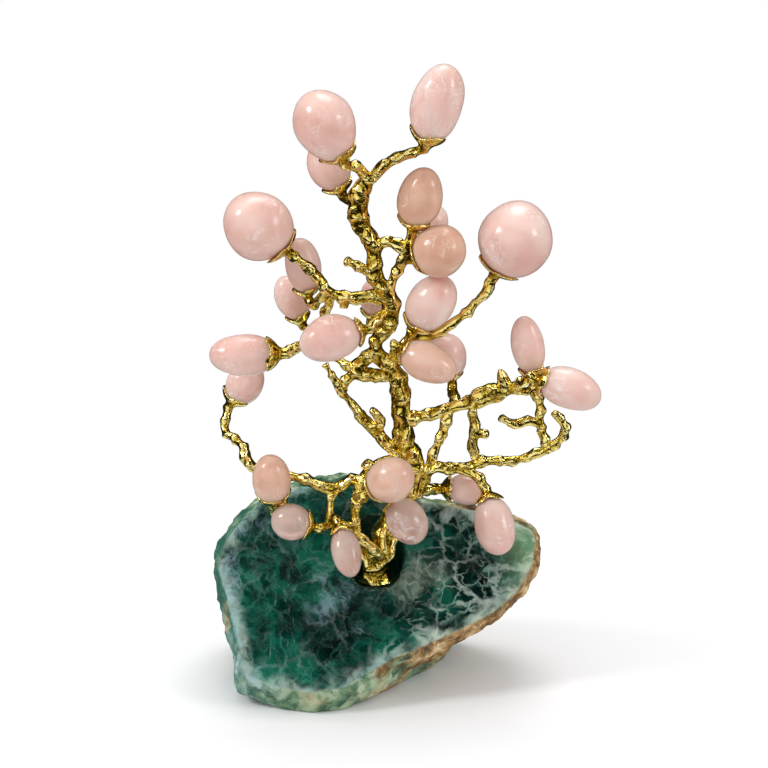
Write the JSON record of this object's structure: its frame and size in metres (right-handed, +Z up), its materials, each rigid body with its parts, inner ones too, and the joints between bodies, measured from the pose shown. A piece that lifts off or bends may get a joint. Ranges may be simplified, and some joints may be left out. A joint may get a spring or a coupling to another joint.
{
  "type": "gemstone tree ornament",
  "caption": "Free-standing ornament: a gilt cast tree with rose quartz eggs in lobed cups at its twig ends, planted in a boulder of polished green fluorite.",
  "frame": {"origin": "on the boulder's sawn sole, at floor level, straight under the axis of the trunk's foot", "axes": "+Z up the tree, -Y towards the viewer of the polished face, +X to that viewer's right"},
  "size_m": [0.1657, 0.0863, 0.271],
  "materials": {
    "fluorite": "polished green face with pale veins, broken tan and brown sides",
    "rose_quartz": "polished milky pink, slightly translucent, with pale veils",
    "tan_quartz": "polished peach to tan quartz, slightly translucent",
    "gilt_brass": "gold plated lost-wax casting, lumpy and bright, dark in the hollows",
    "stud_brass": "turned brass rod",
    "resin": "cured clear bonding resin"
  },
  "bodies": {
    "root": {"cross_bar": "gilt_brass", "crown_back_twig": "gilt_brass", "crown_left_branch": "gilt_brass", "crown_right_branch": "gilt_brass", "fixing_resin": "resin", "fixing_stud": "stud_brass", "fluorite_base": "fluorite", "front_root": "gilt_brass", "hook_twig": "gilt_brass", "inner_strut": "gilt_brass", "left_bough": "gilt_brass", "left_climber": "gilt_brass", "left_drop": "gilt_brass", "left_front_twig": "gilt_brass", "left_limb": "gilt_brass", "left_middle_branch": "gilt_brass", "left_stem": "gilt_brass", "low_front_twig": "gilt_brass", "low_left_limb": "gilt_brass", "low_loop": "gilt_brass", "low_middle_twig": "gilt_brass", "lower_bough": "gilt_brass", "outer_strut": "gilt_brass", "quartz_big_left": "rose_quartz", "quartz_big_right": "rose_quartz", "quartz_crown_left": "rose_quartz", "quartz_crown_left_back": "rose_quartz", "quartz_crown_right": "rose_quartz", "quartz_left_back_high": "rose_quartz", "quartz_left_back_low": "rose_quartz", "quartz_left_far": "rose_quartz", "quartz_left_front": "rose_quartz", "quartz_left_hidden": "rose_quartz", "quartz_low_drop": "rose_quartz", "quartz_low_front": "rose_quartz", "quartz_low_left": "rose_quartz", "quartz_low_left_small": "rose_quartz", "quartz_low_middle": "rose_quartz", "quartz_low_right": "rose_quartz", "quartz_low_right_back": "rose_quartz", "quartz_middle_right": "rose_quartz", "quartz_right_back": "rose_quartz", "quartz_right_far_high": "rose_quartz", "quartz_right_far_low": "rose_quartz", "quartz_right_front": "rose_quartz", "quartz_trunk_back": "rose_quartz", "quartz_upper_hidden": "rose_quartz", "quartz_upper_round": "tan_quartz", "quartz_upper_tan": "tan_quartz", "right_back_twig": "gilt_brass", "right_bough": "gilt_brass", "right_high_bough": "gilt_brass", "right_riser": "gilt_brass", "right_root": "gilt_brass", "trunk": "gilt_brass", "trunk_back_twig": "gilt_brass", "upper_fork": "gilt_brass", "upper_rung": "gilt_brass", "upper_stub": "gilt_brass"}
  },
  "joints": []
}
